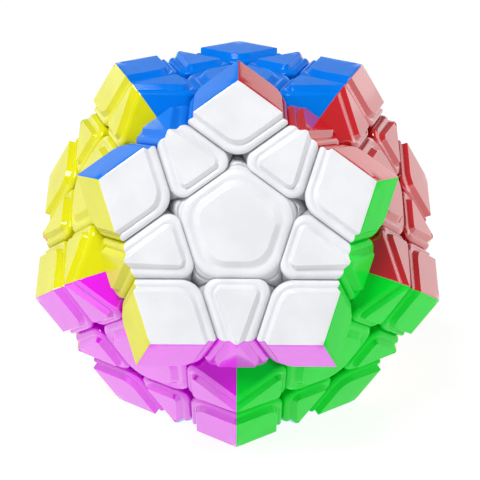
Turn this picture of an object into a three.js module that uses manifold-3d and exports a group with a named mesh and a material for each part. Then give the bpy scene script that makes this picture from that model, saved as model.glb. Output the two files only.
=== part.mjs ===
// A twelve-sided twisty puzzle: a dodecahedron cut into turning layers, one under each face.
// Every layer is a solid of revolution about its own face axis, so it can turn without touching
// the rest. A piece is the space shared by the layers that carry it, less its neighbours' layers.
// The front layer stands half a step round from its home place.
// Units are millimetres, +Z is up, and the puzzle rests on its light blue face at z = 0.

import * as THREE from 'three';
import { ConvexGeometry } from 'three/addons/geometries/ConvexGeometry.js';
import { mergeVertices } from 'three/addons/utils/BufferGeometryUtils.js';
import Module from 'manifold-3d';

const wasm = await Module();
wasm.setup();

// ---- driving dimensions ----

const EDGE = 33;                 // edge of the dodecahedron
const CUT_INSET = 13.55;         // from a dodecahedron edge to the cut, along the face
const GAP = 0.3;                 // clearance between neighbouring pieces
const FRONT_TURN = 36;           // degrees that the front layer stands away from home

const PAD_RISE = 0.9;            // raised pad above the lower border of each piece
const CORNER_BORDER = 3.1;       // width of the lower border round a corner's pads
const EDGE_SIDE_BORDER = 2.0;    // the same beside an edge piece's pads
const EDGE_BASE_BORDER = 2.6;    // the same at the wide end of an edge piece's pads
const CENTRE_BORDER = 2.0;       // the same round a centre's pad

const FOOT_TOP_RADIUS = 28;      // the feet hook under their neighbours at this distance
const FOOT_ANGLE = 50;           // degrees from the face axis to the side of the feet
const FOOT_HOLLOW_REACH = 17.8;  // from the middle to the flat inner faces of the feet
const NECK_RADIUS = 23.2;        // where the neck of the layer meets the flat cut

const CORE_RADIUS = 10.5;
const ARM_RADIUS = 3.4;
const ARM_LENGTH = 17.2;         // from the puzzle's middle to the end of an arm
const BORE_RADIUS = 3.0;         // hollow of a centre, for its screw and spring
const HEAD_UNDERSIDE = 27.7;     // of a centre, over the edges' feet
const COLUMN_RADIUS = 3.9;       // of a centre, down to its arm
const BORE_FLOOR = 20;
const BORE_ROOF = 33.5;
const SCREW_RADIUS = 1.5;
const SCREW_TIP = 9.4;
const SCREW_HEAD_RADIUS = 2.6;
const SCREW_HEAD_BASE = 28;
const SCREW_HEAD_THICKNESS = 1.6;
const SPRING_WIRE = 0.6;         // wire diameter
const SPRING_TURNS = 4;
const SPRING_STEPS = 36;

const LATHE_SEGMENTS = 24;
const POST_SIDES = 10;
const FAR = 70;                  // beyond the whole puzzle

// ---- derived dimensions ----

const GOLDEN = (1 + Math.sqrt(5)) / 2;
const INRADIUS = EDGE * GOLDEN ** 2 / (2 * Math.sqrt(3 - GOLDEN));
const FACE_TILT = Math.atan(1 / 2);           // elevation of the ring faces' normals
const FACE_ANGLE = Math.PI / 2 - FACE_TILT;   // between neighbouring faces' normals
const CORNER_RADIUS = INRADIUS * Math.sqrt(3) * Math.sqrt(5 - 2 * Math.sqrt(5));
const INSET_TO_DEPTH = Math.sin(FACE_ANGLE);  // along the face to square to the cut
const CUT_HEIGHT = INRADIUS - CUT_INSET * INSET_TO_DEPTH;
const CORNER_ANGLE = Math.acos(INRADIUS / CORNER_RADIUS);

// ---- the twelve faces ----

const ringNormal = (degrees, side) => {
  const turn = THREE.MathUtils.degToRad(degrees);
  const reach = Math.cos(FACE_TILT);
  return new THREE.Vector3(reach * Math.sin(turn), -reach * Math.cos(turn), side * Math.sin(FACE_TILT));
};

const face = (name, normal, colour) => ({ name, normal, colour });

const FACES = [
  face('white', ringNormal(0, 1), 0xf4f4f6),
  face('blue', new THREE.Vector3(0, 0, 1), 0x1f86f2),
  face('red', ringNormal(72, 1), 0xd0202a),
  face('green', ringNormal(36, -1), 0x16b832),
  face('magenta', ringNormal(-36, -1), 0xd61fe0),
  face('yellow', ringNormal(-72, 1), 0xe8e62a),
  face('pink', ringNormal(144, 1), 0xf59ac0),
  face('lime', ringNormal(-144, 1), 0x9be02a),
  face('cream', ringNormal(108, -1), 0xf3e7b8),
  face('orange', ringNormal(-108, -1), 0xf58220),
  face('grey', ringNormal(180, -1), 0x8d9196),
  face('light_blue', new THREE.Vector3(0, 0, -1), 0x7fd0f5),
];
const [WHITE, BLUE, RED, GREEN, MAGENTA, YELLOW] = FACES;
const TURNING_CENTRES = ['white', 'lime', 'light_blue'];

const touching = (a, b) => a !== b && a.normal.angleTo(b.normal) < FACE_ANGLE + 0.01;
const twist = (a, b, c) => Math.sign(a.normal.clone().cross(b.normal).dot(c.normal));

// ---- closed meshes to solids and back ----

function toSolid(geometry) {
  const bare = geometry.index ? geometry.clone() : geometry;
  bare.deleteAttribute('normal');
  bare.deleteAttribute('uv');
  const welded = mergeVertices(bare, 1e-4);
  const corners = welded.index.array;
  const kept = [];
  for (let i = 0; i < corners.length; i += 3) {
    const [a, b, c] = corners.subarray(i, i + 3);
    if (a !== b && b !== c && c !== a) kept.push(a, b, c);
  }
  return new wasm.Manifold(new wasm.Mesh({
    numProp: 3,
    vertProperties: new Float32Array(welded.attributes.position.array),
    triVerts: new Uint32Array(kept),
  }));
}

function toGeometry(solid) {
  const mesh = solid.getMesh();
  const geometry = new THREE.BufferGeometry();
  geometry.setAttribute('position', new THREE.BufferAttribute(mesh.vertProperties, 3));
  geometry.setIndex(new THREE.BufferAttribute(mesh.triVerts, 1));
  geometry.computeVertexNormals();
  return geometry;
}

// ---- shapes about a face axis ----

const UP = new THREE.Vector3(0, 1, 0);
const alongAxis = (geometry, normal) =>
  geometry.applyQuaternion(new THREE.Quaternion().setFromUnitVectors(UP, normal));

// A cylinder on a face axis, between two distances from the puzzle's middle.
function post(normal, radius, from, to, sides = POST_SIDES) {
  const cylinder = new THREE.CylinderGeometry(radius, radius, to - from, sides);
  cylinder.translate(0, (from + to) / 2, 0);
  return toSolid(alongAxis(cylinder, normal));
}

// The dodecahedron whose faces lie at the given distance from the middle.
function dodecahedron(inradius) {
  const corners = [];
  for (const [a, b, c] of triples()) {
    const corner = a.normal.clone().add(b.normal).add(c.normal);
    corners.push(corner.setLength(inradius / Math.cos(CORNER_ANGLE)));
  }
  return toSolid(new ConvexGeometry(corners));
}

// Where two lines meet, each given as a point and a direction.
function meeting(p, u, q, v) {
  const along = q.clone().sub(p).cross(v) / u.cross(v);
  return p.clone().addScaledVector(u, along);
}

// The side profile of a turning layer: feet, hook, neck and flat cut, from the axis outwards.
const onRay = (degrees, distance) => {
  const angle = THREE.MathUtils.degToRad(degrees);
  return new THREE.Vector2(distance * Math.sin(angle), distance * Math.cos(angle));
};
const NECK_TOP = new THREE.Vector2(NECK_RADIUS, CUT_HEIGHT);
const NECK_LINE = new THREE.Vector2(Math.sin(CORNER_ANGLE), Math.cos(CORNER_ANGLE));
const FOOT_EDGE = onRay(FOOT_ANGLE, FOOT_TOP_RADIUS);
const HOOK_LINE = new THREE.Vector2(1, -1).normalize();
const NECK_FOOT = meeting(NECK_TOP, NECK_LINE, FOOT_EDGE, HOOK_LINE);
const NECK_END = NECK_TOP.clone().addScaledVector(NECK_LINE, 5);
const LAYER_SIDE = [new THREE.Vector2(0, 0), FOOT_EDGE, NECK_FOOT, NECK_END];

// A turning layer, with its whole side moved inwards by shrink, or outwards where shrink is
// negative: a block beyond the flat cut, joined to the round feet and neck below it. The round
// part stays outside the true circle where it is grown and inside it where it is shrunk.
function layer(faceOfLayer, shrink) {
  const axis = { at: new THREE.Vector2(0, 0), along: new THREE.Vector2(0, 1) };
  const top = { at: NECK_END, along: new THREE.Vector2(1, 0) };
  const lines = [axis];
  for (let i = 0; i + 1 < LAYER_SIDE.length; i += 1) {
    const along = LAYER_SIDE[i + 1].clone().sub(LAYER_SIDE[i]).normalize();
    const inward = new THREE.Vector2(-along.y, along.x);
    lines.push({ at: LAYER_SIDE[i].clone().addScaledVector(inward, shrink), along });
  }
  lines.push(top);
  const profile = [];
  for (let i = 0; i + 1 < lines.length; i += 1) {
    profile.push(meeting(lines[i].at, lines[i].along, lines[i + 1].at, lines[i + 1].along));
  }
  profile[0].x = 0;
  profile.push(new THREE.Vector2(0, NECK_END.y));
  const round = new THREE.LatheGeometry(profile, LATHE_SEGMENTS);
  const outside = shrink < 0 ? 1 / Math.cos(Math.PI / LATHE_SEGMENTS) : 1;
  round.scale(outside, 1, outside);
  const beyond = new THREE.BoxGeometry(2 * FAR, FAR, 2 * FAR);
  beyond.translate(0, CUT_HEIGHT + shrink + FAR / 2, 0);
  const { normal } = faceOfLayer;
  return toSolid(alongAxis(round, normal)).add(toSolid(alongAxis(beyond, normal)));
}

// ---- which faces meet ----

// All sets of three faces that share a corner, each in the same turning sense.
function triples() {
  const found = [];
  FACES.forEach((a, i) => FACES.slice(i + 1).forEach((b, j) => FACES.slice(i + j + 2).forEach((c) => {
    if (!touching(a, b) || !touching(b, c) || !touching(a, c)) return;
    found.push(twist(a, b, c) === twist(WHITE, BLUE, RED) ? [a, b, c] : [a, c, b]);
  })));
  return found;
}

// All pairs of faces that share an edge.
function pairs() {
  const found = [];
  FACES.forEach((a, i) => FACES.slice(i + 1).forEach((b) => {
    if (touching(a, b)) found.push([a, b]);
  }));
  return found;
}

// ---- the three kinds of piece, at the white face ----

const BLOCK = dodecahedron(INRADIUS);
const LOW_BLOCK = dodecahedron(INRADIUS - PAD_RISE);
const FOOT_HOLLOW = dodecahedron(FOOT_HOLLOW_REACH);

// The part of a block inside some layers and outside others.
function cell(block, inside, insideShrink, outside, outsideGrow) {
  let solid = block;
  for (const one of inside) solid = solid.intersect(layer(one, insideShrink));
  for (const one of outside) solid = solid.subtract(layer(one, -outsideGrow));
  return solid;
}

// The pad stands above the lower border, so a piece is a low cell joined to a narrower full one.
function piece(inside, insideBorder, outside, outsideBorder) {
  const low = cell(LOW_BLOCK, inside, GAP / 2, outside, GAP / 2);
  const insideStep = insideBorder * INSET_TO_DEPTH;
  const outsideStep = outsideBorder * INSET_TO_DEPTH;
  const padded = cell(BLOCK, inside, insideStep, outside, outsideStep);
  return low.add(padded).subtract(FOOT_HOLLOW);
}

const cornerPiece = () => piece([WHITE, BLUE, RED], CORNER_BORDER, [], 0);
const edgePiece = () => piece([WHITE, BLUE], EDGE_BASE_BORDER, [RED, YELLOW], EDGE_SIDE_BORDER);

// A centre is a wide head, which holds the edges' feet down, on a round column.
function centrePiece(hollow) {
  const neighbours = [BLUE, RED, GREEN, MAGENTA, YELLOW];
  const head = piece([], 0, neighbours, CENTRE_BORDER)
    .intersect(post(WHITE.normal, FAR / 2, HEAD_UNDERSIDE, FAR, 4));
  const solid = head.add(post(WHITE.normal, COLUMN_RADIUS, FOOT_HOLLOW_REACH, HEAD_UNDERSIDE + 1));
  if (!hollow) return solid;
  return solid
    .subtract(post(WHITE.normal, BORE_RADIUS, BORE_FLOOR, BORE_ROOF))
    .subtract(post(WHITE.normal, SCREW_RADIUS + GAP, 0, BORE_FLOOR + 1));
}

// ---- inner pieces ----

function screw() {
  const shank = post(WHITE.normal, SCREW_RADIUS, SCREW_TIP, SCREW_HEAD_BASE + 0.5);
  const headTop = SCREW_HEAD_BASE + SCREW_HEAD_THICKNESS;
  return shank.add(post(WHITE.normal, SCREW_HEAD_RADIUS, SCREW_HEAD_BASE, headTop));
}

class SpringPath extends THREE.Curve {
  constructor(radius, from, to) {
    super();
    Object.assign(this, { radius, from, to });
  }

  getPoint(t) {
    const turn = 2 * Math.PI * SPRING_TURNS * t;
    const height = this.from + (this.to - this.from) * t;
    return new THREE.Vector3(this.radius * Math.cos(turn), height, this.radius * Math.sin(turn));
  }
}

function spring() {
  const wire = new THREE.Shape();
  wire.absarc(0, 0, SPRING_WIRE / 2, 0, 2 * Math.PI);
  const margin = SPRING_WIRE / 2 + GAP;
  const radius = BORE_RADIUS - SPRING_WIRE / 2 - GAP;
  const path = new SpringPath(radius, BORE_FLOOR + margin, SCREW_HEAD_BASE - margin);
  const coil = new THREE.ExtrudeGeometry(wire, { steps: SPRING_STEPS, curveSegments: 3, extrudePath: path });
  return toSolid(alongAxis(coil, WHITE.normal));
}

// ---- placing ----

// The rotation that carries the white and blue faces onto two touching faces.
function placing(first, second) {
  const frame = (a, b) => {
    const side = a.clone().cross(b).normalize();
    return new THREE.Matrix4().makeBasis(a, side, a.clone().cross(side));
  };
  const home = frame(WHITE.normal, BLUE.normal);
  const there = frame(first.normal, second.normal);
  return there.multiply(home.transpose());
}

const neighbourOf = (one) => FACES.find((other) => touching(one, other));
const atFace = (geometry, one) =>
  toSolid(geometry.clone().applyMatrix4(placing(one, neighbourOf(one))));

// The core, with the centres that are not turned here joined on by their screws.
function coreWithCentres() {
  let core = toSolid(new THREE.IcosahedronGeometry(CORE_RADIUS, 2));
  const centre = toGeometry(centrePiece(false));
  for (const one of FACES) {
    const turning = TURNING_CENTRES.includes(one.name);
    core = core.add(post(one.normal, ARM_RADIUS, 5, turning ? ARM_LENGTH : BORE_FLOOR));
    if (turning) core = core.subtract(post(one.normal, SCREW_RADIUS + GAP, SCREW_TIP - 1, FAR));
    else core = core.add(atFace(centre, one));
  }
  return core;
}

function material(colour, roughness, metalness) {
  return new THREE.MeshStandardMaterial({ color: colour, roughness, metalness });
}

function mesh(name, geometry, itsMaterial, matrix) {
  const made = new THREE.Mesh(geometry, itsMaterial);
  made.name = name;
  made.applyMatrix4(matrix);
  return made;
}

const plastics = new Map(FACES.map((one) => [one, material(one.colour, 0.22, 0)]));
const corePlastic = material(0x2b2d31, 0.45, 0);
const screwSteel = material(0xb9bcc0, 0.3, 1);
const springSteel = material(0xa9adb3, 0.35, 1);

function build() {
  const puzzle = new THREE.Group();
  puzzle.position.set(0, 0, INRADIUS);
  const frontLayer = new THREE.Group();
  frontLayer.quaternion.setFromAxisAngle(WHITE.normal, THREE.MathUtils.degToRad(FRONT_TURN));
  puzzle.add(frontLayer);

  const addPiece = (kind, geometry, faces) => {
    const name = [kind, ...faces.map((one) => one.name)].join('_');
    const where = placing(faces[0], faces[1] ?? neighbourOf(faces[0]));
    const holder = faces.includes(WHITE) ? frontLayer : puzzle;
    holder.add(mesh(name, geometry, plastics.get(faces[0]), where));
  };

  const corner = toGeometry(cornerPiece());
  for (const faces of triples()) addPiece('corner', corner, faces);
  const edge = toGeometry(edgePiece());
  for (const faces of pairs()) addPiece('edge', edge, faces);

  const centre = toGeometry(centrePiece(true));
  const screwShape = toGeometry(screw());
  const springShape = toGeometry(spring());
  for (const one of FACES.filter((each) => TURNING_CENTRES.includes(each.name))) {
    addPiece('centre', centre, [one]);
    const where = placing(one, neighbourOf(one));
    puzzle.add(mesh(`screw_${one.name}`, screwShape, screwSteel, where));
    puzzle.add(mesh(`spring_${one.name}`, springShape, springSteel, where));
  }

  const still = new THREE.Matrix4();
  puzzle.add(mesh('core_with_nine_centres', toGeometry(coreWithCentres()), corePlastic, still));
  return puzzle;
}

export default build();
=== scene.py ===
"""Looks for the dodecahedron twisty puzzle: every outer piece, the core, the screws and the springs.

Lengths are in millimetres about the puzzle's middle until an object is made, and then in metres.
A piece's surface is built from rings. Each ring runs round the piece at one depth below its face or,
deeper in, at one distance from the puzzle's middle. One sector of a piece lies under each of its
faces, in that face's colour, and the sectors meet on the planes through the dodecahedron's edges.
"""

import math

import bpy
import numpy as np
from mathutils import Matrix, Vector


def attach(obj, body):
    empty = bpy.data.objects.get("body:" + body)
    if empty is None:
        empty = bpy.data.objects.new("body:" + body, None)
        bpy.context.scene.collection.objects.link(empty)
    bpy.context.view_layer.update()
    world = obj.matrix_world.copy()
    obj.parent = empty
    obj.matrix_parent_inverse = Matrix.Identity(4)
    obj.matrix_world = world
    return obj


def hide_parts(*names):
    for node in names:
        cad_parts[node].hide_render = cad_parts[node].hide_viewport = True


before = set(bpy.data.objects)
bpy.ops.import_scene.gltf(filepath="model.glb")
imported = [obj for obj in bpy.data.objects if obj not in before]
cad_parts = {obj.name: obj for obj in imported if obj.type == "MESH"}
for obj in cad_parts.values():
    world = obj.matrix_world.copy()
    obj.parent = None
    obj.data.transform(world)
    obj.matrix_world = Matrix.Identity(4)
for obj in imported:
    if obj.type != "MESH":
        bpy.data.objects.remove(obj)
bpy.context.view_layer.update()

# ---- driving dimensions, mm ----

EDGE = 33.0                   # edge of the dodecahedron
CUT_INSET = 13.55             # from a dodecahedron edge to the cut, along the face
GAP = 0.1                     # clearance between neighbouring pieces
FRONT_TURN = 36.0             # degrees that the front layer stands away from home

CORNER_BORDER = 3.55          # cut to pad, along the face, on a corner
EDGE_BASE_BORDER = 3.05       # the same at an edge piece's wide end
CENTRE_BORDER = 2.5           # the same on a centre
PAD_TIP = 0.1                 # half width of an edge piece's pad where it reaches the edge
PAD_TAPER = 2.0               # degrees between the long sides of that pad and the cuts
BEAD_DEPTH = 0.95             # the low bead round each pad, below the face
COVE_DEPTH = 1.2              # the hollow between pad and bead
COVE_RIM = 0.08               # where the pad ends, on the way from the pad (0) to the bead (1)
COVE_PLACE = 0.62             # where the hollow lies, on the same way
COVE_RADII = (0.1, 0.2)       # rounding of the profile at that rim and in the hollow
CORNER_SHOULDER = 1.0         # rounding radius of a corner's border, which overhangs its wall
EDGE_SHOULDER = 0.65          # the same at an edge piece's wide end
OUTER_SHOULDER = 1.25         # rounding radius of a border above a sloping wall
WALL_START = 2.7              # depth at which every wall has become flat
EDGE_ROUNDING = 0.55          # rounding radius along the dodecahedron's edges

# Radii of the outlines' corners, seen from outside: at the pad, the bead, the ledge and the inner end,
# which is a foot or the underside of a centre's head.
CORNER_OUTLINE = (3.6, 4.7, 4.7, 2.0)
EDGE_OUTLINE = (0.5, 2.4, 2.4, 1.5)
CENTRE_OUTLINE = (4.3, 5.2, 1.8, 1.8)

NECK_RADIUS = 23.2            # where a layer's neck meets its flat cut
FOOT_TOP = 28.0               # from the middle to where the feet hook under their neighbours
HOOK_GAP = 0.3                # between the feet and what they hook under
FOOT_ANGLE = 50.0             # degrees from a layer's axis to the side of its feet
FOOT_BOTTOM = 18.2            # inner end of the feet and of a centre's column, clear of the core

HEAD_UNDERSIDE = 27.7         # height of a centre's flat underside, over the feet
HEAD_RIM = 29.6               # from the puzzle's middle to the edge of that underside
COLUMN_RADIUS = 3.9           # of a centre, down to its arm
BORE_RADIUS = 3.0             # of the hollow in a centre, for its screw and spring
BORE_FLOOR = 20.2
BORE_ROOF = 33.5
SCREW_HOLE = 1.9              # radius of the hole in the hollow's floor

CORE_RADIUS = 10.5
ARM_RADIUS = 3.4
ARM_LENGTH = 17.2             # from the middle to the end of an arm
ARM_START = 5.0               # inner end of an arm, inside the hub
ARM_HOLE_SPACE = 0.05         # round the screw
ARM_HOLE_FLOOR = 0.6          # below the screw's tip
SCREW_RADIUS = 1.5
SCREW_TIP = 10.8              # from the middle
SCREW_POINT = 0.6             # length of the plain point, before the thread
SCREW_PITCH = 0.8
SCREW_HEAD_RADIUS = 2.6
SCREW_HEAD_BASE = 28.0
SCREW_HEAD_THICKNESS = 1.6
SCREW_HEAD_ROUNDING = 0.5
RECESS_HALF_WIDTH = 0.42      # of each bar of the cross in a screw's head
RECESS_REACH = 1.5
SPRING_WIRE = 0.6             # wire diameter
SPRING_TURNS = 5.5
SPRING_END_SPACE = 0.02       # between the spring and what it stands between
SPRING_SIDE_SPACE = 0.15      # between the spring and the bore

MM = 0.001

# ---- the dodecahedron ----

GOLDEN = (1 + math.sqrt(5)) / 2
INRADIUS = EDGE * GOLDEN**2 / (2 * math.sqrt(3 - GOLDEN))
CIRCUMRADIUS = EDGE * GOLDEN * math.sqrt(3) / 2
FACE_TILT = math.atan(0.5)                     # elevation of the ring faces' normals
FACE_ANGLE = math.pi / 2 - FACE_TILT           # between touching faces' normals
CORNER_ANGLE = math.acos(INRADIUS / CIRCUMRADIUS)
HALF_DIHEDRAL = (math.pi - FACE_ANGLE) / 2
WALL_SLOPE = 0.5                               # a wall's drift along the face per step of depth
INTO_CUT = math.sin(FACE_ANGLE)                # along the face to square to the cut
CUT_HEIGHT = INRADIUS - CUT_INSET * INTO_CUT
NECK_TOP = math.hypot(NECK_RADIUS, CUT_HEIGHT)
TIP_SINE = math.sin(math.radians(72))          # a cut line meets a dodecahedron edge at 72 degrees
EDGE_SIDE_BORDER = (EDGE / 2 - PAD_TIP) * TIP_SINE - CUT_INSET
OVER_HOOK = FOOT_TOP + HOOK_GAP / 2
UNDER_HOOK = FOOT_TOP - HOOK_GAP / 2
MIDDLE = Vector((0, 0, INRADIUS * MM))


def ring_normal(degrees, side):
    """The outward normal of a face in the upper (side 1) or lower (side -1) ring of five."""
    turn = math.radians(degrees)
    reach = math.cos(FACE_TILT)
    return np.array([reach * math.sin(turn), -reach * math.cos(turn), side * math.sin(FACE_TILT)])


NORMALS = {
    "white": ring_normal(0, 1),
    "blue": np.array([0.0, 0.0, 1.0]),
    "red": ring_normal(72, 1),
    "green": ring_normal(36, -1),
    "magenta": ring_normal(-36, -1),
    "yellow": ring_normal(-72, 1),
    "pink": ring_normal(144, 1),
    "lime": ring_normal(-144, 1),
    "cream": ring_normal(108, -1),
    "orange": ring_normal(-108, -1),
    "grey": ring_normal(180, -1),
    "light_blue": np.array([0.0, 0.0, -1.0]),
}
FACES = list(NORMALS)
WHITE, BLUE, RED, YELLOW = (NORMALS[name] for name in ("white", "blue", "red", "yellow"))


def unit(vector):
    return vector / np.linalg.norm(vector)


def touching(one, other):
    """Whether two faces share an edge of the dodecahedron."""
    return one != other and NORMALS[one] @ NORMALS[other] > 0


def twist(a, b, c):
    """The turning sense of three faces: 1 or -1."""
    return np.sign(np.cross(NORMALS[a], NORMALS[b]) @ NORMALS[c])


def corner_faces():
    """Every set of three faces that share a corner, each in the same turning sense."""
    home = twist("white", "blue", "red")
    for i, a in enumerate(FACES):
        for j, b in enumerate(FACES[i + 1:], i + 1):
            for c in FACES[j + 1:]:
                if touching(a, b) and touching(b, c) and touching(a, c):
                    yield (a, b, c) if twist(a, b, c) == home else (a, c, b)


def edge_faces():
    """Every pair of faces that share an edge."""
    for i, a in enumerate(FACES):
        for b in FACES[i + 1:]:
            if touching(a, b):
                yield a, b


def neighbour(name):
    """A face that touches this one."""
    return next(other for other in FACES if touching(name, other))


def axes_of(first, second):
    """Three axes as columns: the first face's normal, the way along the shared edge, and across it."""
    side = unit(np.cross(NORMALS[first], NORMALS[second]))
    return np.stack([NORMALS[first], side, np.cross(NORMALS[first], side)], axis=1)


def placing(first, second):
    """The rotation that carries the white and blue faces onto two touching faces."""
    return axes_of(first, second) @ axes_of("white", "blue").T


def turning(axis, degrees):
    return np.array(Matrix.Rotation(math.radians(degrees), 3, Vector(axis)))


def mirroring(normal):
    """The reflection in the plane through the middle with this normal."""
    return np.eye(3) - 2 * np.outer(unit(normal), unit(normal))


# ---- points where surfaces meet: a plane is (normal, distance from the middle) ----


def on_planes(*planes):
    """Where three planes meet."""
    return np.linalg.solve(np.array([p[0] for p in planes]), np.array([p[1] for p in planes]))


def on_sphere(one, other, radius, towards):
    """Where two planes cross a sphere about the middle, on the side given by towards."""
    along = unit(np.cross(one[0], other[0]))
    base = on_planes(one, other, (along, 0.0))
    reach = math.sqrt(max(radius**2 - base @ base, 0.0))
    return max((base + reach * along, base - reach * along), key=lambda point: point @ towards)


def side_height(radius, shift, part):
    """How far along its own axis a layer's side lies, at a distance from the puzzle's middle.

    The side is a flat cut, then a neck, then the side of the feet. shift moves it into the layer.
    """
    if part == "cut":
        return CUT_HEIGHT + shift
    if part == "neck":
        offset = CUT_HEIGHT * math.sin(CORNER_ANGLE) - NECK_RADIUS * math.cos(CORNER_ANGLE)
        angle = CORNER_ANGLE - math.asin((offset + shift) / radius)
    else:
        angle = math.radians(FOOT_ANGLE) - math.asin(shift / radius)
    return radius * math.cos(angle)


def half_angle(back, ahead):
    return math.acos(np.clip(back @ ahead, -1, 1)) / 2


def arc_points(start, corner, end, half, places):
    """Points on the arc that rounds a corner, at places from its start (0) to its end (1)."""
    points = []
    for t in places:
        shares = (1 - t) ** 2, 2 * math.sin(half) * t * (1 - t), t**2
        points.append((shares[0] * start + shares[1] * corner + shares[2] * end) / sum(shares))
    return points


# ---- profiles: (distance along the face from the cut towards the pad, depth) ----


def rounded_path(points, radii, steps=5):
    """A polyline with its inner corners rounded off."""
    path = [points[0]]
    for before, corner, after, radius in zip(points, points[1:], points[2:], radii):
        back, ahead = unit(before - corner), unit(after - corner)
        half = half_angle(back, ahead)
        reach = radius / math.tan(half)
        start, end = corner + reach * back, corner + reach * ahead
        path += arc_points(start, corner, end, half, np.linspace(0, 1, steps))
    path.append(points[-1])
    return path


# From the pad's rim (0) over the hollow to the top of the bead (1).
STEP_POINTS = ((0, 0), (COVE_RIM, 0), (COVE_PLACE, COVE_DEPTH), (1, BEAD_DEPTH))
STEP = rounded_path([np.array(point) for point in STEP_POINTS], COVE_RADII)

# Where rings lie on a shoulder, as turns from the bead's top. The last is an overhanging one's whole turn.
SHOULDER_TURNS = np.radians((18, 36, 54, 72, 90, 103, 116.565))


def shoulder(drop, overhanging, radius):
    """Where the border's outer rounding lies, a drop below the bead, and then the wall under it."""
    depth = BEAD_DEPTH + drop
    drift = WALL_SLOPE if overhanging else -WALL_SLOPE
    wall = GAP / 2 / INTO_CUT + drift * depth
    turn = math.pi / 2 + FACE_TILT if overhanging else FACE_ANGLE
    deepest = radius * (1 - math.cos(turn))
    start = GAP / 2 / INTO_CUT + drift * (BEAD_DEPTH + deepest) + radius * math.sin(turn)
    if drop >= deepest:
        return wall
    return start - math.sqrt(radius**2 - (radius - drop) ** 2)


def border_profile(pad, overhanging, radius, depths):
    """From the pad's rim over the hollow and the bead, and down to each of the depths."""
    bead = shoulder(0.0, overhanging, radius)
    rows = [(pad + (bead - pad) * share, depth) for share, depth in STEP]
    return rows + [(shoulder(depth - BEAD_DEPTH, overhanging, radius), depth) for depth in depths]


def cut_level(along, depth, inside):
    """A plane's distance from the middle, square to a cut, for a place on the face at a depth."""
    if inside:
        return CUT_HEIGHT + INTO_CUT * (along - WALL_SLOPE * depth)
    return CUT_HEIGHT - INTO_CUT * (along + WALL_SLOPE * depth)


# ---- rings ----

ARC_POINTS = 7                                      # along half of a rounded corner
ARC_SHARE = 0.8                                     # the most of a side that a rounded corner takes up
SIDE_POINTS = 6                                     # along a side
PROBE = 0.1                                         # how far along a side its direction is taken
PAD_SCALES = (0.15, 0.35, 0.55, 0.75, 0.9, 0.97)    # rings of the pad, from its pole out

# How far the last points of a side are from the dodecahedron's edge.
END_STEPS = np.array((0.95, 0.66, 0.5, 0.33, 0.16, 0.0)) * EDGE_ROUNDING

# The small step in a wall: the depth of a ring, and how far the step has come there (0 to 1).
LEDGE = ((2.3, 0.0), (2.33, 0.06), (2.4, 0.9), (2.47, 1.0))

# Rings below the wall: distance from the middle, then what the inner and the outer sides are there.
MID_CUT = 35.0
MID_NECK = 31.0
UPPER_FOOT = 24.0
LOWER_FOOT = 20.0
NECK_LEVELS = ((MID_CUT, "cut", "cut"), (NECK_TOP, "cut", "cut"), (MID_NECK, "neck", "neck"))
CENTRE_LEVELS = ((HEAD_RIM, "neck", "neck"),)
FOOT_RINGS = (UNDER_HOOK, UPPER_FOOT, LOWER_FOOT, FOOT_BOTTOM)
FOOT_LEVELS = tuple((distance, "foot", "foot") for distance in FOOT_RINGS)
CORNER_LEVELS = ((UNDER_HOOK, "neck", "neck"), *FOOT_LEVELS)
EDGE_LEVELS = (
    (OVER_HOOK, "neck", "neck"),
    (OVER_HOOK, "neck", "foot"),
    (UNDER_HOOK, "neck", "foot"),
    *FOOT_LEVELS,
)


class Side:
    """A way along a side, from a corner to an end: straight, or circling a face's axis."""

    def __init__(self, corner, end, axis):
        self.corner = corner
        self.round = axis is not None
        if not self.round:
            self.length = np.linalg.norm(end - corner)
            self.along = unit(end - corner)
            return
        self.centre = axis * (corner @ axis)
        self.spoke = corner - self.centre
        across = np.cross(axis, self.spoke)
        angle = math.atan2(across @ end, self.spoke @ (end - self.centre))
        self.across = across * np.sign(angle)
        self.radius = np.linalg.norm(self.spoke)
        self.length = abs(angle) * self.radius

    def at(self, distance):
        if not self.round:
            return self.corner + distance * self.along
        angle = distance / self.radius
        return self.centre + self.spoke * math.cos(angle) + self.across * math.sin(angle)


def half_arc(before, after, radius):
    """From the middle of a rounded corner to its end on the after side, and how far along that is."""
    corner = after.corner
    back, ahead = unit(before.at(PROBE) - corner), unit(after.at(PROBE) - corner)
    half = half_angle(back, ahead)
    reach = min(radius / math.tan(half), ARC_SHARE * before.length, ARC_SHARE * after.length)
    start, end = before.at(reach), after.at(reach)
    return arc_points(start, corner, end, half, np.linspace(0.5, 1, ARC_POINTS)), reach


def to_middle(side, reach):
    """From a rounded corner's end to the middle of a side."""
    return [side.at(distance) for distance in np.linspace(reach, side.length, SIDE_POINTS + 1)[1:]]


def to_edge(side, reach):
    """From a rounded corner's end to a dodecahedron edge, with points closer together near it."""
    stops = list(np.linspace(reach, side.length - END_STEPS[0], SIDE_POINTS + 1)[1:])
    stops += [side.length - step for step in END_STEPS[1:]]
    return [side.at(distance) for distance in stops]


def soften(point, others):
    """Lowers a point of the white sector near the dodecahedron's edges, so that they are round."""
    shift = np.zeros(3)
    held = []
    for other in others:
        across = unit(WHITE - other)
        gap = abs(point @ across) / EDGE_ROUNDING
        if gap < math.cos(HALF_DIHEDRAL):
            lowered = 1 / math.sin(HALF_DIHEDRAL) - gap / math.tan(HALF_DIHEDRAL) - math.sqrt(1 - gap**2)
            shift -= unit(WHITE + other) * lowered * EDGE_ROUNDING
        if gap < 1e-6:
            held.append(across)
    for across in held * 8:                         # over again, as each plane disturbs the others
        shift -= across * (shift @ across)
    return point + shift


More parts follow.
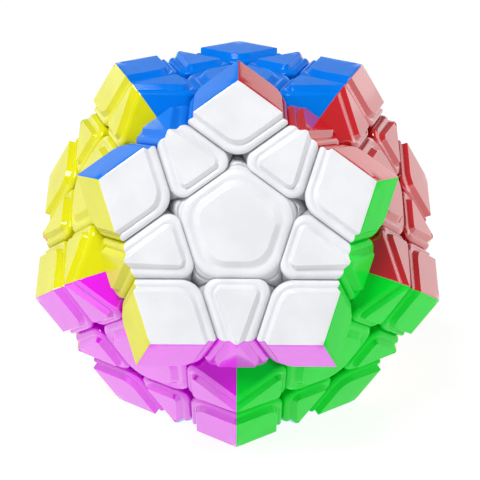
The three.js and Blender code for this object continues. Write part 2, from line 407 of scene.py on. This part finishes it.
class Level:
    """Where a piece's sides stand at one depth below its face, or at one distance from the middle."""

    def __init__(self, meet, inner, outer, is_round, radius, taper=0.0):
        self.meet = meet
        self.inner = inner
        self.outer = outer
        self.is_round = is_round
        self.radius = radius
        self.taper = taper

    def side(self, corner, end, normal):
        return Side(corner, end, normal if self.is_round else None)


def flat_level(depth, inner, outer, radius, taper=0.0):
    """A ring at one depth. inner and outer are places along the face, from the cut."""
    roof = (WHITE, INRADIUS - depth)

    def meet(one, other, _towards):
        return on_planes(roof, one, other)

    return Level(meet, cut_level(inner, depth, True), cut_level(outer, depth, False), False, radius, taper)


def round_level(distance, inner_part, outer_part, radius):
    """A ring at one distance from the middle. Its parts are those of side_height."""

    def meet(one, other, towards):
        return on_sphere(one, other, distance, towards)

    inner = side_height(distance, GAP / 2, inner_part)
    outer = side_height(distance, -GAP / 2, outer_part)
    return Level(meet, inner, outer, True, radius)


MID_EDGE = (WHITE - BLUE, 0.0)                      # the plane between two sectors
ACROSS_CORNER = mirroring(BLUE - RED)               # swaps the halves of a corner's or centre's sector
ACROSS_EDGE = mirroring(RED - YELLOW)               # swaps the halves of an edge piece's sector


def corner_half(level):
    """From the piece's inner corner on the white face to the edge between white and blue."""
    corner = level.meet((BLUE, level.inner), (RED, level.inner), WHITE)
    end = level.meet((RED, level.inner), MID_EDGE, WHITE + BLUE)
    after = level.side(corner, end, RED)
    before = level.side(corner, ACROSS_CORNER @ end, BLUE)
    arc, reach = half_arc(before, after, level.radius)
    return arc + to_edge(after, reach)


def edge_half(level):
    """From the middle of the piece's wide end on the white face to the edge between white and blue."""
    end = level.meet((RED, level.outer), MID_EDGE, WHITE + BLUE)
    tapered = turning(WHITE, level.taper) @ RED
    corner = level.meet((BLUE, level.inner), (tapered, tapered @ end), WHITE)
    middle = level.meet((BLUE, level.inner), (RED - YELLOW, 0.0), WHITE)
    base = level.side(corner, middle, BLUE)
    slant = level.side(corner, end, RED)
    near, near_reach = half_arc(slant, base, level.radius)
    far, far_reach = half_arc(base, slant, level.radius)
    return (near + to_middle(base, near_reach))[::-1] + far[1:] + to_edge(slant, far_reach)


def centre_half(level):
    """From one of the piece's corners to the middle of the side next to the red face."""
    corner = level.meet((BLUE, level.outer), (RED, level.outer), WHITE)
    middle = level.meet((RED, level.outer), (np.cross(WHITE, RED), 0.0), WHITE)
    after = level.side(corner, middle, RED)
    before = level.side(corner, ACROSS_CORNER @ middle, BLUE)
    arc, reach = half_arc(before, after, level.radius)
    return arc + to_middle(after, reach)


# ---- the three outer pieces, at the white face ----


class Shell:
    """A closed surface of rings between two poles, with one material for each sector."""

    def __init__(self, rings, first_pole, last_pole, sectors):
        self.points = np.array([point for ring in rings for point in ring] + [first_pole, last_pole])
        count = len(rings[0])
        self.faces = []
        self.sectors = []
        for row in range(len(rings) - 1):
            for k in range(count):
                after = (k + 1) % count
                here, below = row * count, (row + 1) * count
                self.faces.append((here + k, below + k, below + after, here + after))
                self.sectors.append(k * sectors // count)
        base = (len(rings) - 1) * count
        for k in range(count):
            after = (k + 1) % count
            self.faces += [(len(self.points) - 2, k, after), (len(self.points) - 1, base + after, base + k)]
            self.sectors += [k * sectors // count] * 2


class Kind:
    """What sets the three kinds of outer piece apart.

    half is the function for half a sector's ring, mirror and turn carry it round the piece's sectors,
    others are the other faces that the piece lies under, and pole is the middle of its outside. borders
    and shoulders are given for the inner and the outer sides.
    """

    def __init__(
        self, half, mirror, turn, sectors, others, pole, borders, shoulders, outline, levels, taper=0.0
    ):
        self.half = half
        self.mirror = mirror
        self.turn = turn
        self.sectors = sectors
        self.others = others
        self.pole = pole
        self.borders = borders
        self.shoulders = shoulders
        self.pad_radius, self.bead_radius, self.ledge_radius, self.foot_radius = outline
        self.levels = levels
        self.taper = taper

    def ring(self, half):
        """A whole ring round the piece from half a sector's."""
        sector = [self.mirror @ point for point in half[:0:-1]] + half[:-1]
        points = []
        for _ in range(self.sectors):
            points += sector
            sector = [self.turn @ point for point in sector]
        return points

    def softened(self, points):
        return [soften(point, self.others) for point in points]

    def face_rings(self):
        """From the pad's middle over its border and down the start of the wall."""
        depths = [BEAD_DEPTH + self.shoulders[0] * (1 - math.cos(turn)) for turn in SHOULDER_TURNS]
        depths += [*(depth for depth, _ in LEDGE), WALL_START]
        inner = border_profile(self.borders[0], True, self.shoulders[0], depths)
        outer = border_profile(self.borders[1], False, self.shoulders[1], depths)
        rim = self.half(flat_level(0.0, inner[0][0], outer[0][0], self.pad_radius, self.taper))
        for scale in PAD_SCALES:
            yield self.softened([self.pole + (point - self.pole) * scale for point in rim])
        for k, ((inner_place, depth), (outer_place, _)) in enumerate(zip(inner, outer)):
            share = STEP[k][0] if k < len(STEP) else 1.0
            out = np.interp(depth, *zip(*LEDGE))
            radius = self.pad_radius + (self.bead_radius - self.pad_radius) * share
            radius += (self.ledge_radius - self.bead_radius) * out
            taper = self.taper * (1 - share)
            yield self.softened(self.half(flat_level(depth, inner_place, outer_place, radius, taper)))

    def lower_rings(self):
        """Down the rest of the wall and the neck, and on over what is particular to the kind."""
        for levels, radius in ((NECK_LEVELS, self.ledge_radius), (self.levels, self.foot_radius)):
            for level in levels:
                yield self.half(round_level(*level, radius))


def footed_shell(kind):
    """A corner or an edge piece: the face, the neck and the foot that holds it in."""
    halves = [*kind.face_rings(), *kind.lower_rings()]
    first = soften(kind.pole, kind.others)
    return Shell([kind.ring(half) for half in halves], first, unit(kind.pole) * FOOT_BOTTOM, kind.sectors)


def centre_shell(kind):
    """A centre: the face, a head with a flat underside, and a bored column for screw and spring."""
    halves = [*kind.face_rings(), *kind.lower_rings()]
    outline = [point * HEAD_UNDERSIDE / (point @ WHITE) for point in halves.pop()]
    halves.append(outline)
    spokes = [unit(point - WHITE * (point @ WHITE)) for point in outline]
    steps = (
        (COLUMN_RADIUS, HEAD_UNDERSIDE),
        (COLUMN_RADIUS, FOOT_BOTTOM),
        (SCREW_HOLE, FOOT_BOTTOM),
        (SCREW_HOLE, BORE_FLOOR),
        (BORE_RADIUS, BORE_FLOOR),
        (BORE_RADIUS, BORE_ROOF),
    )
    for radius, height in steps:
        halves.append([spoke * radius + WHITE * height for spoke in spokes])
    return Shell([kind.ring(half) for half in halves], kind.pole, WHITE * BORE_ROOF, kind.sectors)


def corner_kind():
    pole = on_planes((WHITE, INRADIUS), (BLUE, INRADIUS), (RED, INRADIUS))
    return Kind(
        corner_half, ACROSS_CORNER, placing("blue", "red"), sectors=3, others=(BLUE, RED), pole=pole,
        borders=(CORNER_BORDER, CORNER_BORDER), shoulders=(CORNER_SHOULDER, OUTER_SHOULDER),
        outline=CORNER_OUTLINE, levels=CORNER_LEVELS,
    )


def edge_kind():
    pole = on_planes((WHITE, INRADIUS), (BLUE, INRADIUS), (RED - YELLOW, 0.0))
    return Kind(
        edge_half, ACROSS_EDGE, placing("blue", "white"), sectors=2, others=(BLUE,), pole=pole,
        borders=(EDGE_BASE_BORDER, EDGE_SIDE_BORDER), shoulders=(EDGE_SHOULDER, OUTER_SHOULDER),
        outline=EDGE_OUTLINE, levels=EDGE_LEVELS, taper=PAD_TAPER,
    )


def centre_kind():
    return Kind(
        centre_half, ACROSS_CORNER, placing("white", "red"), sectors=5, others=(), pole=WHITE * INRADIUS,
        borders=(CENTRE_BORDER, CENTRE_BORDER), shoulders=(CORNER_SHOULDER, OUTER_SHOULDER),
        outline=CENTRE_OUTLINE, levels=CENTRE_LEVELS,
    )


# ---- materials ----

PLASTIC_COLOURS = {                                 # sRGB
    "white": (0.87, 0.875, 0.89),
    "blue": (0.0, 0.455, 0.87),
    "red": (0.78, 0.08, 0.12),
    "green": (0.02, 0.86, 0.20),
    "magenta": (0.9, 0.01, 0.93),
    "yellow": (0.84, 0.83, 0.06),
    "pink": (0.96, 0.62, 0.74),
    "lime": (0.62, 0.86, 0.30),
    "cream": (0.95, 0.90, 0.68),
    "orange": (0.96, 0.47, 0.07),
    "grey": (0.52, 0.53, 0.55),
    "light_blue": (0.45, 0.76, 0.93),
}
CORE_COLOUR = (0.12, 0.12, 0.13)
SCREW_COLOUR = (0.74, 0.74, 0.76)
SPRING_COLOUR = (0.66, 0.67, 0.70)

USUAL_GLAZE = 0.27                                  # weight of the clear outer skin
GLAZE = {"red": 1.0, "magenta": 1.0, "yellow": 0.2, "blue": 0.0, "green": 0.0}
GLAZE_ROUGHNESS = 0.06
GLAZE_IOR = 2.0
USUAL_IOR = 1.3                                     # of the plastic under the skin
BODY_IOR = {"blue": 1.2, "green": 1.2}
PLASTIC_ROUGHNESS = 0.15
CORE_ROUGHNESS = 0.34
SCREW_ROUGHNESS = 0.28
SPRING_ROUGHNESS = 0.22

# Noise in features per metre, and the height of the relief in metres.
CLOUD_SCALE = 140.0                                 # a plastic's colour
HANDLING_SCALE = 420.0                              # its roughness
GRAIN_SCALE = 1300.0                                # its relief
GRAIN_HEIGHT = 0.000001
TINT_SCALE = 900.0                                  # a steel's colour
POLISH_SCALE = 2400.0                               # its roughness
DRAWING_SCALE = 6000.0                              # its relief
DRAWING_HEIGHT = 0.000008
PAPER_SCALE = 60.0                                  # the floor's colour


def grey(value):
    """A linear RGBA grey, which a value socket reads as the value itself."""
    return (value,) * 3 + (1.0,)


def linear(colour):
    """A linear RGBA colour from an sRGB one."""
    parts = []
    for value in colour:
        parts.append(value / 12.92 if value <= 0.04045 else ((value + 0.055) / 1.055) ** 2.4)
    return (*parts, 1.0)


def new_material(name):
    made = bpy.data.materials.new(name)
    made.use_nodes = True
    nodes = made.node_tree.nodes
    return made, nodes, made.node_tree.links, nodes["Principled BSDF"]


def noise(nodes, links, scale, detail=3.0):
    """Noise fixed to the object's own coordinates, with its scale in features per metre."""
    where = nodes.new("ShaderNodeTexCoord")
    texture = nodes.new("ShaderNodeTexNoise")
    texture.inputs["Scale"].default_value = scale
    texture.inputs["Detail"].default_value = detail
    links.new(where.outputs["Object"], texture.inputs["Vector"])
    return texture.outputs["Fac"]


def ramp(nodes, links, source, low, high, socket, places=(0.35, 0.65)):
    """Feeds a socket with the low colour up to the first place and the high one from the second."""
    made = nodes.new("ShaderNodeValToRGB")
    for stop, place, value in zip(made.color_ramp.elements, places, (low, high)):
        stop.position = place
        stop.color = value
    links.new(source, made.inputs["Fac"])
    links.new(made.outputs["Color"], socket)


def bump(nodes, links, source, height, shader):
    made = nodes.new("ShaderNodeBump")
    made.inputs["Distance"].default_value = height
    made.inputs["Strength"].default_value = 1.0
    links.new(source, made.inputs["Height"])
    links.new(made.outputs["Normal"], shader.inputs["Normal"])


def shade(nodes, links, shader, colour, darkest, clouds):
    """Varies the base colour from the darkest share of it up to all of it."""
    dark = linear(tuple(darkest * value for value in colour))
    ramp(nodes, links, clouds, dark, linear(colour), shader.inputs["Base Color"])


def dull(nodes, links, shader, smoothest, roughest, patches):
    """Varies the roughness between two values."""
    ramp(nodes, links, patches, grey(smoothest), grey(roughest), shader.inputs["Roughness"])


def plastic(name, colour, roughness, glaze, ior):
    """Moulded ABS: even colour with a faint cloudiness, a fine grain and a slight sheen of handling."""
    made, nodes, links, shader = new_material(name)
    shade(nodes, links, shader, colour, 0.965, noise(nodes, links, CLOUD_SCALE))
    patches = noise(nodes, links, HANDLING_SCALE, 5.0)
    dull(nodes, links, shader, roughness - 0.04, roughness + 0.06, patches)
    bump(nodes, links, noise(nodes, links, GRAIN_SCALE, 2.0), GRAIN_HEIGHT, shader)
    shader.inputs["Coat Weight"].default_value = glaze
    shader.inputs["Coat Roughness"].default_value = GLAZE_ROUGHNESS
    shader.inputs["Coat IOR"].default_value = GLAZE_IOR
    shader.inputs["IOR"].default_value = ior
    return made


def steel(name, tint, roughness):
    """Zinc-plated steel with fine drawing marks."""
    made, nodes, links, shader = new_material(name)
    shader.inputs["Metallic"].default_value = 1.0
    shade(nodes, links, shader, tint, 0.9, noise(nodes, links, TINT_SCALE))
    patches = noise(nodes, links, POLISH_SCALE, 4.0)
    dull(nodes, links, shader, roughness - 0.06, roughness + 0.08, patches)
    bump(nodes, links, noise(nodes, links, DRAWING_SCALE, 2.0), DRAWING_HEIGHT, shader)
    return made


PLASTICS = {}
for face, colour in PLASTIC_COLOURS.items():
    glaze, ior = GLAZE.get(face, USUAL_GLAZE), BODY_IOR.get(face, USUAL_IOR)
    PLASTICS[face] = plastic(face + "_plastic", colour, PLASTIC_ROUGHNESS, glaze, ior)
CORE_PLASTIC = plastic("core_plastic", CORE_COLOUR, CORE_ROUGHNESS, 0.0, USUAL_IOR)
SCREW_STEEL = steel("screw_steel", SCREW_COLOUR, SCREW_ROUGHNESS)
SPRING_STEEL = steel("spring_steel", SPRING_COLOUR, SPRING_ROUGHNESS)

# ---- objects ----


def signed_volume(points, faces):
    """Six times the volume inside a closed surface, and negative if its faces point inwards."""
    fan = [(face[0], face[k], face[k + 1]) for face in faces for k in range(1, len(face) - 1)]
    a, b, c = (points[[triangle[k] for triangle in fan]] for k in range(3))
    return np.einsum("ij,ij->i", a, np.cross(b, c)).sum()


def add_object(name, points, faces, materials, sectors=None):
    """A mesh object in metres, from millimetres about the puzzle's middle, with its normals outward."""
    if signed_volume(points, faces) < 0:
        faces = [face[::-1] for face in faces]
    mesh = bpy.data.meshes.new(name)
    mesh.from_pydata([tuple(point) for point in points * MM + np.array(MIDDLE)], [], faces)
    for material in materials:
        mesh.materials.append(material)
    if sectors is not None:
        mesh.polygons.foreach_set("material_index", sectors)
    mesh.polygons.foreach_set("use_smooth", [True] * len(mesh.polygons))
    mesh.update()
    made = bpy.data.objects.new(name, mesh)
    bpy.context.scene.collection.objects.link(made)
    return made


LAYERS = ("white", "lime", "light_blue")            # the faces whose layers turn
FRONT = turning(WHITE, FRONT_TURN)


def at_rest(faces, towards):
    """The rotation from the white face to a piece's place: home, or turned with the front layer."""
    home = placing(faces[0], towards)
    return FRONT @ home if "white" in faces else home


def settle(piece, faces, node):
    """Says which body a piece rides on and which CAD node it stands for."""
    layer = next((name + "_layer" for name in LAYERS if name in faces), "frame")
    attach(piece, layer)
    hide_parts(node)


def add_shell(name, shell, faces, node):
    points = shell.points @ at_rest(faces, faces[1]).T
    piece = add_object(name, points, shell.faces, [PLASTICS[face] for face in faces], shell.sectors)
    settle(piece, faces, node)


CORNER = footed_shell(corner_kind())
EDGE_PIECE = footed_shell(edge_kind())
CENTRE = centre_shell(centre_kind())
CORE_NODE = "core_with_nine_centres"

for faces in corner_faces():
    add_shell("_".join(faces) + "_corner", CORNER, faces, "_".join(("corner", *faces)))
for faces in edge_faces():
    add_shell("_".join(faces) + "_edge", EDGE_PIECE, faces, "_".join(("edge", *faces)))


def lathe(rows, turn, count=28):
    """Rings about an axis from (radius, height) rows. The first and last rows have no radius."""
    rings = []
    for radius, height in rows[1:-1]:
        angles = 2 * np.pi * np.arange(count) / count
        rings.append([np.array([radius * math.cos(a), radius * math.sin(a), height]) for a in angles])
    poles = (np.array([0.0, 0.0, height]) for _, height in (rows[0], rows[-1]))
    shell = Shell(rings, *poles, 1)
    return shell.points @ turn.T, shell.faces


def upright(name):
    """A rotation that carries the Z axis onto a face's axis."""
    normal, side = NORMALS[name], unit(np.cross(NORMALS[name], NORMALS[neighbour(name)]))
    return np.stack([side, np.cross(normal, side), normal], axis=1)


def cross_recess(points, turn):
    """Sinks a cross into a screw's head."""
    local = points @ turn
    half_way = SCREW_HEAD_BASE + 0.5 * SCREW_HEAD_THICKNESS
    floor = SCREW_HEAD_BASE + 0.45 * SCREW_HEAD_THICKNESS
    for k, (x, y, z) in enumerate(local):
        in_cross = min(abs(x), abs(y)) < RECESS_HALF_WIDTH and max(abs(x), abs(y)) < RECESS_REACH
        if z > half_way and in_cross:
            local[k, 2] = floor
    return local @ turn.T


def screw_rows():
    """A pan-headed screw with a threaded tip."""
    rows = [(0.0, SCREW_TIP), (0.5 * SCREW_RADIUS, SCREW_TIP)]
    height = SCREW_TIP + SCREW_POINT
    while height < ARM_LENGTH:
        rows.append((0.8 * SCREW_RADIUS, height))
        rows += [(SCREW_RADIUS, height + share * SCREW_PITCH) for share in (0.4, 0.6)]
        height += SCREW_PITCH
    rows += [(SCREW_RADIUS, height), (SCREW_RADIUS, SCREW_HEAD_BASE), (SCREW_HEAD_RADIUS, SCREW_HEAD_BASE)]
    top = SCREW_HEAD_BASE + SCREW_HEAD_THICKNESS
    for angle in np.radians((0, 25, 50, 75)):
        inset = SCREW_HEAD_ROUNDING * (1 - math.cos(angle))
        drop = SCREW_HEAD_ROUNDING * (1 - math.sin(angle))
        rows.append((SCREW_HEAD_RADIUS - inset, top - drop))
    # Rings across the head, close enough together for the cross.
    rows += [(radius, top) for radius in (1.9, 1.6, 1.35, 1.1, 0.85, 0.6, 0.4, 0.2)]
    rows.append((0.0, top))
    return rows


def coil(turn, steps_per_turn=28, count=10):
    """A compression spring between the bore's floor and the screw's head, its ends closed flat."""
    bottom = BORE_FLOOR + SPRING_WIRE / 2 + SPRING_END_SPACE
    top = SCREW_HEAD_BASE - SPRING_WIRE / 2 - SPRING_END_SPACE
    radius = BORE_RADIUS - SPRING_WIRE / 2 - SPRING_SIDE_SPACE
    steps = int(SPRING_TURNS * steps_per_turn)
    up = np.array([0.0, 0.0, 1.0])
    closed = SPRING_WIRE / (top - bottom)
    rings = []
    for k in range(steps + 1):
        share = k / steps
        angle = 2 * math.pi * SPRING_TURNS * share
        rise = closed * min(SPRING_TURNS * share, 1.0)
        fall = closed * min(SPRING_TURNS * (1 - share), 1.0)
        middle = np.clip((SPRING_TURNS * share - 1) / (SPRING_TURNS - 2), 0, 1)
        height = bottom + (top - bottom) * (rise + (1 - 2 * closed) * middle + closed - fall)
        out = np.array([math.cos(angle), math.sin(angle), 0.0])
        centre = out * radius + up * height
        around = 2 * np.pi * np.arange(count) / count
        rings.append([centre + SPRING_WIRE / 2 * (out * math.cos(a) + up * math.sin(a)) for a in around])
    shell = Shell(rings, np.mean(rings[0], axis=0), np.mean(rings[-1], axis=0), 1)
    return shell.points @ turn.T, shell.faces


def core_arm(turn):
    """One arm of the core, flared at its root and hollow for its screw."""
    hole = SCREW_RADIUS + ARM_HOLE_SPACE
    floor = SCREW_TIP - ARM_HOLE_FLOOR
    root = [
        (0.0, ARM_START),
        (ARM_RADIUS + 1.2, ARM_START),
        (ARM_RADIUS + 1.0, CORE_RADIUS - 1.2),
        (ARM_RADIUS + 0.3, CORE_RADIUS),
        (ARM_RADIUS, CORE_RADIUS + 1.0),
    ]
    rim = [
        (ARM_RADIUS, ARM_LENGTH - 0.4),
        (ARM_RADIUS - 0.1, ARM_LENGTH - 0.1),
        (ARM_RADIUS - 0.4, ARM_LENGTH),
        (hole + 0.2, ARM_LENGTH),
        (hole, ARM_LENGTH - 0.2),
    ]
    return lathe(root + rim + [(hole, floor), (0.0, floor)], turn)


def add_core():
    """A hub with twelve arms, one under each face."""
    hub_rows = [(CORE_RADIUS * math.sin(a), -CORE_RADIUS * math.cos(a)) for a in np.linspace(0, math.pi, 25)]
    parts = [lathe(hub_rows, np.eye(3), 48)] + [core_arm(upright(name)) for name in FACES]
    points, faces = [], []
    for part_points, part_faces in parts:
        start = sum(len(group) for group in points)
        if signed_volume(part_points, part_faces) < 0:
            part_faces = [face[::-1] for face in part_faces]
        faces += [tuple(index + start for index in face) for face in part_faces]
        points.append(part_points)
    piece = add_object("core", np.concatenate(points), faces, [CORE_PLASTIC])
    settle(piece, (), CORE_NODE)


def node_of(part, name):
    """The CAD node of a face's centre, screw or spring, where only turning faces have their own."""
    return f"{part}_{name}" if name in LAYERS else CORE_NODE


for name in FACES:
    points = CENTRE.points @ at_rest((name,), neighbour(name)).T
    piece = add_object(name + "_centre", points, CENTRE.faces, [PLASTICS[name]])
    settle(piece, (name,), node_of("centre", name))
    turn = upright(name)
    points, rows = lathe(screw_rows(), turn)
    piece = add_object(name + "_screw", cross_recess(points, turn), rows, [SCREW_STEEL])
    settle(piece, (), node_of("screw", name))
    points, rows = coil(turn)
    piece = add_object(name + "_spring", points, rows, [SPRING_STEEL])
    settle(piece, (), node_of("spring", name))
add_core()

# ---- floor, light and camera ----

FLOOR_SIZE = 6.0              # metres
FLOOR_SHADES = (0.42, 0.43)   # sRGB
FLOOR_GLOW = 0.9
WALL_TOP = 8.0                # degrees above the horizon
CEILING_START = 18.0          # the same
WALL_LIGHT = 1.3
CEILING_LIGHT = 0.14
EYE = Vector((0.82, -247.7, 107.8)) * MM            # from the puzzle's middle
LOOK_AT = Vector((0.49, -0.37, -0.84)) * MM         # the same
ROLL = 0.3                    # degrees
LENS = 91.8                   # focal length in mm, on a sensor of SENSOR_WIDTH
SENSOR_WIDTH = 36.0


def add_floor():
    mesh = bpy.data.meshes.new("floor")
    half = FLOOR_SIZE / 2
    corners = [(-half, -half, 0), (half, -half, 0), (half, half, 0), (-half, half, 0)]
    mesh.from_pydata(corners, [], [(0, 1, 2, 3)])
    made, nodes, links, shader = new_material("floor_paper")
    dark, pale = (linear((value,) * 3) for value in FLOOR_SHADES)
    ramp(nodes, links, noise(nodes, links, PAPER_SCALE), dark, pale, shader.inputs["Base Color"])
    shader.inputs["Roughness"].default_value = 0.9
    shader.inputs["Specular IOR Level"].default_value = 0.1
    shader.inputs["Emission Color"].default_value = (1.0, 1.0, 1.0, 1.0)
    shader.inputs["Emission Strength"].default_value = FLOOR_GLOW
    mesh.materials.append(made)
    floor = bpy.data.objects.new("floor", mesh)
    bpy.context.scene.collection.objects.link(floor)


def add_softbox(name, place, size, watts):
    light = bpy.data.lights.new(name, "AREA")
    light.shape = "RECTANGLE"
    light.size, light.size_y = size
    light.energy = watts
    made = bpy.data.objects.new(name, light)
    made.location = place
    made.rotation_euler = (MIDDLE - made.location).to_track_quat("-Z", "Y").to_euler()
    made.visible_camera = False
    bpy.context.scene.collection.objects.link(made)


def add_world():
    """A studio that is bright low down, all round, and dimmer overhead."""
    world = bpy.data.worlds.new("studio")
    world.use_nodes = True
    nodes, links = world.node_tree.nodes, world.node_tree.links
    where = nodes.new("ShaderNodeTexCoord")
    parts = nodes.new("ShaderNodeSeparateXYZ")
    links.new(where.outputs["Generated"], parts.inputs["Vector"])
    places = [math.sin(math.radians(angle)) for angle in (WALL_TOP, CEILING_START)]
    shades = grey(WALL_LIGHT), grey(CEILING_LIGHT)
    ramp(nodes, links, parts.outputs["Z"], *shades, nodes["Background"].inputs["Color"], places)
    bpy.context.scene.world = world


def add_camera():
    data = bpy.data.cameras.new("camera")
    data.sensor_width = SENSOR_WIDTH
    data.lens = LENS
    data.clip_start = 0.01
    made = bpy.data.objects.new("camera", data)
    made.location = MIDDLE + EYE
    look = (LOOK_AT - EYE).to_track_quat("-Z", "Y").to_matrix()
    made.rotation_euler = (look @ Matrix.Rotation(math.radians(ROLL), 3, "Z")).to_euler()
    bpy.context.scene.collection.objects.link(made)
    bpy.context.scene.camera = made


add_floor()
add_world()
# Places and sizes of the lights are in metres.
add_softbox("key_light", place=(-0.34, -0.34, 0.87), size=(0.4, 0.4), watts=9.3)
add_softbox("fill_light", place=(0.9, 0.1, 0.45), size=(1.0, 0.8), watts=3.6)
add_camera()
bpy.context.scene.view_settings.view_transform = "Standard"
